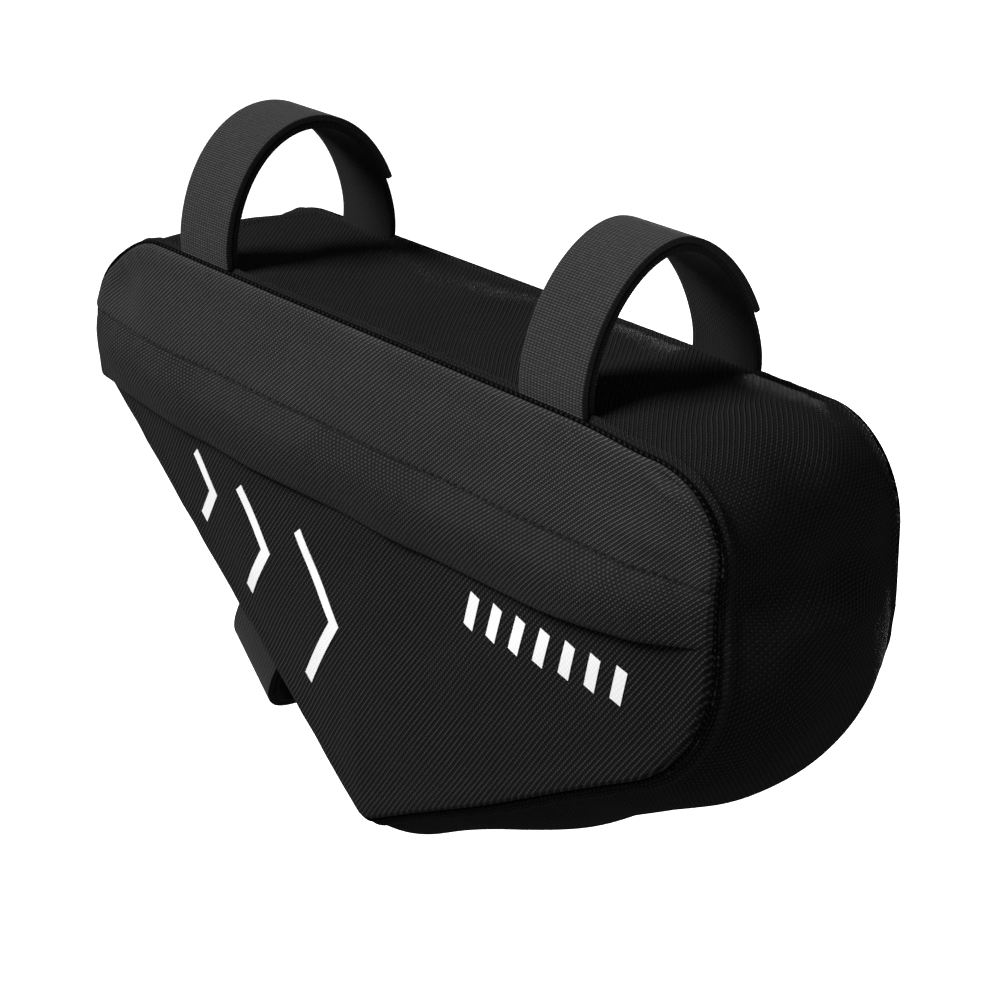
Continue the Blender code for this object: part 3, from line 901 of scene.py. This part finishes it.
def make_stitches(name, path):
    """A row of stitches along a path on the near side: each is a short rounded bar whose radius
    is next to nothing at both ends."""
    run = running_length(path)
    count = int(run[-1] / STITCH_PITCH)
    middle = (np.arange(count) + 0.5) * STITCH_PITCH
    share = np.linspace(-0.5, 0.5, STITCH_RINGS)
    fullness = np.sqrt(np.clip(1 - (2 * share) ** 2, 0.02, 1))
    at = middle[:, None] + share[None, :] * STITCH_LENGTH
    spot = np.stack([np.interp(at, run, path[:, axis]) for axis in range(3)], axis=2)
    way = spot[:, -1:] - spot[:, :1]
    way = way / np.linalg.norm(way, axis=2, keepdims=True)
    side = np.cross(way, -SIDEWAYS)
    angle = np.linspace(0, 2 * math.pi, STITCH_SIDES + 1)[:-1, None]
    ring = np.cos(angle) * side[:, :, None, :] - np.sin(angle) * SIDEWAYS
    points = spot[:, :, None, :] + STITCH_RADIUS * fullness[None, :, None, None] * ring
    index = np.arange(points.size // 3).reshape(count, STITCH_RINGS, STITCH_SIDES)
    after = np.roll(index, -1, axis=2)
    quads = np.stack([index[:, :-1], after[:, :-1], after[:, 1:], index[:, 1:]], axis=3)
    ends = np.concatenate([index[:, 0, ::-1], index[:, -1]])
    mesh = bpy.data.meshes.new(name)
    faces = quads.reshape(-1, 4).tolist() + ends.tolist()
    mesh.from_pydata(points.reshape(-1, 3).tolist(), [], faces)
    mesh.uv_layers.new(name="cloth")
    mesh.shade_smooth()
    add_piece(name, mesh, THREAD)


def make_seams():
    """The seams round both sides, and the stitches that show above the flap."""
    make_seam("near_seam", -1)
    make_seam("far_seam", 1)
    x = np.linspace(NOSE_END + STITCH_ENDS[0], -NOSE_END - STITCH_ENDS[1], STITCH_POINTS)
    z = np.full_like(x, FLAP_SEAM + STITCH_RISE)
    y = -(upper_face(x, z) + CLOTH)
    make_stitches("flap_stitches", settle(np.stack([x, y, z], axis=1)))


def sink_end(path, out_way, reach):
    """Runs the first end of a layer straight on into the cloth by the reach, and draws its last
    millimetres towards the bag's middle by a square law."""
    height = (path - path[0]) @ out_way
    low = (height < END_CURVE) & (np.arange(len(path)) < len(path) // 2)
    moved = path.copy()
    moved[low, 1] -= np.sign(path[0, 1]) * TUCK_INWARDS * (1 - height[low] / END_CURVE) ** 2
    below = np.linspace(1, 1 / TUCK_ROWS, TUCK_ROWS)[:, None] * reach * out_way
    return np.concatenate([moved[0] - below, moved])


def make_loop(strap, base, ways, half_span, depth, seat, tuck, webbing):
    """Two layers of webbing, each along half of a rounded ellipse: cosine and sine of the angle
    raised to two over the side's roundness. Its width turns from the edge's direction at its foot
    to the bore's at its top."""
    name, _, near, far = strap
    edge_way, bore_way, out_way = ways
    across = np.linspace(0.5, -0.5, LOOP_COLUMNS)[:, None, None] * STRAP_WIDTH
    for layer, end, inset, material in (
        ("outer", OUTER_LAYER_END, 0.0, webbing),
        ("inner", 1.0, STRAP_WALL + GAP, HOOK_SIDE),
    ):
        angle = math.pi * np.linspace(0, end, LOOP_SPANS + 1)
        power = np.where(angle < math.pi / 2, 2 / near, 2 / far)
        reach = np.abs(np.cos(angle)) ** power * np.sign(np.cos(angle))
        rise = np.abs(np.sin(angle)) ** power
        path = base - ((half_span - inset) * reach)[:, None] * SIDEWAYS
        path = path + (seat + (depth - inset - seat) * rise)[:, None] * out_way
        path = sink_end(path, out_way, seat + tuck)
        rise = np.concatenate([np.zeros(TUCK_ROWS), rise])
        if layer == "inner":
            path = sink_end(path[::-1], out_way, seat + tuck)[::-1]
            rise = np.concatenate([rise, np.zeros(TUCK_ROWS)])
        turned = edge_way + (bore_way - edge_way) * rise[:, None]
        grid = path[None] + across * turned[None]
        uv = np.broadcast_arrays(across[::-1, 0], running_length(path))
        mesh = make_mesh(f"{name}_webbing_{layer}", grid, uv)
        piece = add_piece(mesh.name, mesh, material, [f"{name}_strap_{layer}"])
        thicken(piece, -STRAP_WALL)
        round_edges = piece.modifiers.new("edge", "BEVEL")
        round_edges.width = STRAP_EDGE
        round_edges.segments = 2
        round_edges.limit_method = "ANGLE"
        round_edges.angle_limit = math.radians(50)


def seat_height(base, span):
    """How far the gusset or seam stands out under a layer that lies span from the middle."""
    inner_share = (span - STRAP_WALL) / float(half_thickness(base[0]))
    if inner_share >= 1:
        return SEAM_RIDGE + GAP
    under = np.linalg.norm(FINE_POINTS - base[[0, 2]], axis=1) < STRAP_WIDTH
    return float(FINE_BULGES[under].max()) * (1 - inner_share ** GUSSET_ROUNDNESS) + GAP


def make_straps():
    """The two top loops and the loop on the front edge."""
    layers = 2 * STRAP_WALL + GAP
    level, up = np.array([1.0, 0.0, 0.0]), np.array([0.0, 0.0, 1.0])
    seat = SEAM_RIDGE + GAP
    depth = TOP_BORE_SPACE + 2 * TOP_BORE_RADIUS + LOOP_SLACK + layers
    for strap in TOP_STRAPS:
        base = np.array([NOSE_END + BAG_LENGTH * strap[1], 0.0, TOP_EDGE])
        half_span = float(half_thickness(base[0])) + (CLOTH + STRAP_WALL) / 2
        make_loop(strap, base, (level, level, up), half_span, depth, seat, TOP_TUCK, WEBBING)
    first, last = [
        np.array([NOSE_END + BAG_LENGTH * along, 0.0, TOP_EDGE - BAG_HEIGHT * down])
        for along, down, _, _ in CORNERS[1:3]
    ]
    run = last - first
    along = run / np.linalg.norm(run)
    out_way = np.array([along[2], 0.0, -along[0]])
    bore_way = np.array([math.cos(FRONT_BORE_SLOPE), 0.0, -math.sin(FRONT_BORE_SLOPE)])
    base = first + FRONT_EDGE_STRAP[1] * run
    depth = FRONT_BORE_SPACE + 2 * FRONT_BORE_RADIUS + LOOP_SLACK + layers
    half_span = FRONT_BORE_RADIUS + LOOP_SLACK + layers
    seat = max(seat_height(base, half_span), SEAM_RIDGE + GAP)
    # The down-tube loop gets the darker copy of the webbing: painted shade.
    make_loop(FRONT_EDGE_STRAP, base, (-along, -bore_way, out_way), half_span, depth, seat,
              FRONT_TUCK, SHADED_WEBBING)


def stroke(corners, width):
    """A ribbon of even width along straight runs with mitred corners, as a grid of flat points
    in X-Z with three points across."""
    path = np.array(corners, float)
    run = np.diff(path, axis=0)
    way = run / np.linalg.norm(run, axis=1, keepdims=True)
    normal = np.stack([-way[:, 1], way[:, 0]], axis=1)
    mitre = np.concatenate([normal[:1], normal]) + np.concatenate([normal, normal[-1:]])
    mitre *= (2 / (mitre ** 2).sum(1))[:, None]
    columns = []
    for index in range(len(run)):
        count = max(2, int(np.linalg.norm(run[index]) / PRINT_STEP))
        share = np.linspace(0, 1, count + 1)[(1 if index else 0):, None]
        spot = path[index] + share * run[index]
        sideways = mitre[index] + share * (mitre[index + 1] - mitre[index])
        columns.append(np.stack([spot - sideways * width / 2, spot, spot + sideways * width / 2]))
    return np.concatenate(columns, axis=1)


def make_print(name, strokes):
    """White print on the lower near panel: ribbons laid on the panel's outer face."""
    vertices, faces, total = [], [], 0
    for flat in strokes:
        x, z = flat[..., 0], flat[..., 1]
        grid = settle(np.stack([x, -(lower_face(x, z) + CLOTH + PRINT_LIFT), z], axis=2))
        vertices.append(grid.reshape(-1, 3))
        faces.append(cell_corners(total + np.arange(x.size).reshape(x.shape)))
        total += x.size
    points, quads = np.concatenate(vertices), np.concatenate(faces)
    mesh = bpy.data.meshes.new(name)
    mesh.from_pydata(points.tolist(), [], quads.tolist())
    layer = mesh.uv_layers.new(name="cloth")
    layer.data.foreach_set("uv", points[quads.ravel()][:, [0, 2]].astype(np.float32).ravel())
    mesh.shade_flat()
    thicken(add_piece(name, mesh, PRINT), PRINT_WALL)


def make_prints():
    """Three growing arrowheads that follow the wedge, and a row of slanted bars to the rear."""
    heads = []
    for x, z, reach, rise in PRINT_HEADS:
        heads.append(stroke([(x - reach, z + rise), (x, z), (x - reach, z - rise)], PRINT_STROKE))
    make_print("print_arrowheads", heads)
    bars = []
    for number in range(BAR_COUNT):
        x, high = BAR_START[0] + BAR_STEP[0] * number, BAR_START[1] + BAR_STEP[1] * number
        bars.append(stroke([(x - BAR_LEAN, high - BAR_HEIGHT), (x, high)], PRINT_STROKE))
    make_print("print_slanted_bars", bars)


# Stage and camera
def make_floor():
    """Pale floor well below the hanging bag, which neither lights nor shades it."""
    corners = [(x * FLOOR_REACH, y * FLOOR_REACH, FLOOR_LEVEL)
               for x, y in ((-1, -1), (1, -1), (1, 1), (-1, 1))]
    mesh = bpy.data.meshes.new("floor")
    mesh.from_pydata(corners, [], [(0, 1, 2, 3)])
    floor = bpy.data.objects.new("floor", mesh)
    bpy.context.scene.collection.objects.link(floor)
    pale = bpy.data.materials.new("pale floor")
    pale.use_nodes = True
    Nodes(pale.node_tree).fill(pale.node_tree.nodes["Principled BSDF"],
                               Base_Color=(0.92, 0.92, 0.92, 1), Roughness=0.9,
                               Emission_Color=(1, 1, 1, 1), Emission_Strength=0.8)
    mesh.materials.append(pale)
    floor.visible_diffuse = False
    floor.visible_glossy = False
    floor.visible_shadow = False


def make_lights():
    """One soft key from the upper left, weak fills from the rear and from behind, and a sky that
    is pale where the camera sees it."""
    for name, place, size, power in LAMPS:
        data = bpy.data.lights.new(name, "AREA")
        data.energy = power
        data.size = size
        lamp = bpy.data.objects.new(name, data)
        lamp.location = place
        aim = Vector(LAMP_TARGET) - Vector(place)
        lamp.rotation_euler = aim.to_track_quat("-Z", "Y").to_euler()
        bpy.context.scene.collection.objects.link(lamp)
    world = bpy.data.worlds.new("pale sky")
    world.use_nodes = True
    n = Nodes(world.node_tree)
    dim = world.node_tree.nodes["Background"]
    n.fill(dim, Color=(1, 1, 1, 1), Strength=SKY_STRENGTH)
    seen = n.add("ShaderNodeBackground")
    n.fill(seen, Color=(SKY_SEEN, SKY_SEEN, SKY_SEEN, 1))
    mixed = n.add("ShaderNodeMixShader")
    by_camera = n.add("ShaderNodeLightPath").outputs["Is Camera Ray"]
    for number, given in enumerate((by_camera, dim.outputs[0], seen.outputs[0])):
        n.put(given, mixed.inputs[number])
    n.put(mixed.outputs[0], world.node_tree.nodes["World Output"].inputs["Surface"])
    bpy.context.scene.world = world


def make_camera():
    """The photograph's camera: its place, azimuth and height angle, without shift."""
    azimuth, elevation = math.radians(CAMERA_AZIMUTH), math.radians(CAMERA_ELEVATION)
    back = Vector((
        math.sin(azimuth) * math.cos(elevation),
        -math.cos(azimuth) * math.cos(elevation),
        math.sin(elevation),
    ))
    data = bpy.data.cameras.new("camera")
    data.lens = CAMERA_LENS
    data.sensor_width = CAMERA_SENSOR
    camera = bpy.data.objects.new("camera", data)
    camera.location = CAMERA_PLACE
    camera.rotation_euler = (-back).to_track_quat("-Z", "Y").to_euler()
    bpy.context.scene.collection.objects.link(camera)
    bpy.context.scene.camera = camera


make_gusset()
make_panels()
make_seams()
make_straps()
make_prints()
make_floor()
make_lights()
make_camera()
bpy.context.scene.view_settings.view_transform = "Standard"
